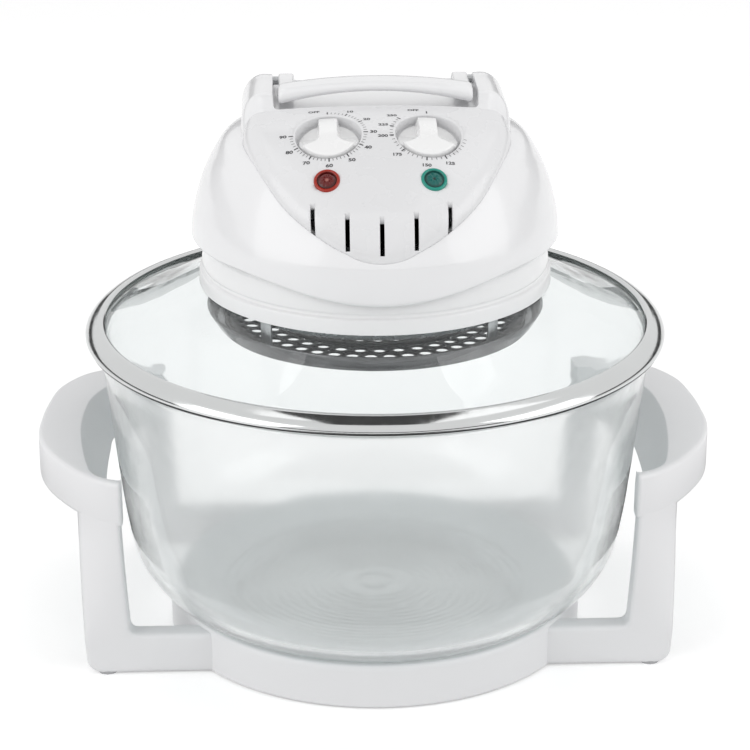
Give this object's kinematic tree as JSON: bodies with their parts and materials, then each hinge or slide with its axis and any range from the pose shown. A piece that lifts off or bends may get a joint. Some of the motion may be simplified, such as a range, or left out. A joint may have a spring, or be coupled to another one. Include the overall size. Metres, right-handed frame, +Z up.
{
  "type": "halogen oven",
  "caption": "Countertop halogen oven: glass bowl in a two-grip stand, with a lift-off glass lid that carries the heater, fan and controls.",
  "frame": {"origin": "on the floor under the bowl's vertical axis", "axes": "+Z up along the bowl's axis, -Y towards the control panel's side, +X to the right seen from the front"},
  "size_m": [0.398, 0.336, 0.3378],
  "materials": {
    "stand_plastic": "satin white moulding",
    "head_plastic": "glossy white moulding",
    "panel_plastic": "slightly greyer white moulding",
    "knob_plastic": "glossy white",
    "clear_glass": "clear",
    "quartz_glass": "quartz tube",
    "red_lens": "tinted clear",
    "green_lens": "tinted clear",
    "chrome_steel": "polished",
    "dark_steel": "dark coated",
    "zinc_steel": "zinc plated",
    "spun_aluminium": "bright",
    "ceramic": "unglazed",
    "white_silicone": "matt",
    "black_plastic": "black moulding",
    "copper_wire": "varnished winding",
    "rubber": "matt"
  },
  "bodies": {
    "stand": {"base_ring": "stand_plastic", "left_bracket": "stand_plastic", "right_bracket": "stand_plastic", "foot_pad_front_left": "rubber", "foot_pad_front_right": "rubber", "foot_pad_rear_left": "rubber", "foot_pad_rear_right": "rubber"},
    "bowl": {"glass_bowl": "clear_glass"},
    "lid": {"glass_lid": "clear_glass", "lid_rim": "chrome_steel", "rim_seal": "white_silicone", "collar": "head_plastic", "upper_housing": "head_plastic", "control_panel": "panel_plastic", "rear_panel": "head_plastic", "handle_saddle": "head_plastic", "handle_pin_left": "zinc_steel", "handle_pin_right": "zinc_steel", "safety_switch": "black_plastic", "timer_mechanism": "zinc_steel", "thermostat": "ceramic", "red_lamp_lens": "red_lens", "red_neon_bulb": "clear_glass", "green_lamp_lens": "green_lens", "green_neon_bulb": "clear_glass", "mounting_plate": "zinc_steel", "reflector": "spun_aluminium", "halogen_lamp": "quartz_glass", "lamp_socket_left": "ceramic", "lamp_socket_right": "ceramic", "guard_trim_ring": "chrome_steel", "guard_plate": "dark_steel", "guard_hanger_1": "zinc_steel", "guard_hanger_2": "zinc_steel", "guard_hanger_3": "zinc_steel", "guard_hanger_4": "zinc_steel", "motor_bracket": "zinc_steel", "motor_stack": "dark_steel", "motor_coil": "copper_wire", "terminal_block": "ceramic", "power_inlet": "black_plastic", "housing_screw_1": "zinc_steel", "housing_screw_2": "zinc_steel", "housing_screw_3": "zinc_steel", "housing_screw_4": "zinc_steel"},
    "carry_handle": {"handle": "head_plastic"},
    "plunger": {"switch_plunger": "white_silicone"},
    "timer_control": {"timer_knob": "knob_plastic", "timer_shaft": "zinc_steel"},
    "temperature_control": {"temperature_knob": "knob_plastic", "temperature_shaft": "zinc_steel"},
    "fan_rotor": {"motor_shaft": "zinc_steel", "motor_rotor": "zinc_steel", "cooling_fan": "spun_aluminium", "hot_air_fan": "spun_aluminium"}
  },
  "joints": [
    {"name": "bowl_lift", "type": "slide", "parent": "stand", "child": "bowl", "axis": [0, 0, 1], "range_m": [0, 0.2]},
    {"name": "lid_lift", "type": "slide", "parent": "bowl", "child": "lid", "axis": [0, 0, 1], "range_m": [0, 0.15]},
    {"name": "handle_fold", "type": "hinge", "parent": "lid", "child": "carry_handle", "pos_m": [0, 0.034, 0.324], "axis": [-1, 0, 0], "range_deg": [0, 75]},
    {"name": "switch_travel", "type": "slide", "parent": "lid", "child": "plunger", "axis": [0, 0, 1], "range_m": [0, 0.003]},
    {"name": "timer_turn", "type": "hinge", "parent": "lid", "child": "timer_control", "pos_m": [-0.0275, -0.04619, 0.31472], "axis": [0.06, 0.4029, -0.9133], "range_deg": [0, 270]},
    {"name": "temperature_turn", "type": "hinge", "parent": "lid", "child": "temperature_control", "pos_m": [0.0275, -0.04619, 0.31472], "axis": [-0.06, 0.4029, -0.9133], "range_deg": [0, 310]},
    {"name": "fan_spin", "type": "hinge", "parent": "lid", "child": "fan_rotor", "pos_m": [0, 0, 0.23], "axis": [0, 0, 1], "continuous": true}
  ],
  "couplings": [
    {"joint": "switch_travel", "follows": "handle_fold", "m_per_rad": 0.0022918}
  ]
}
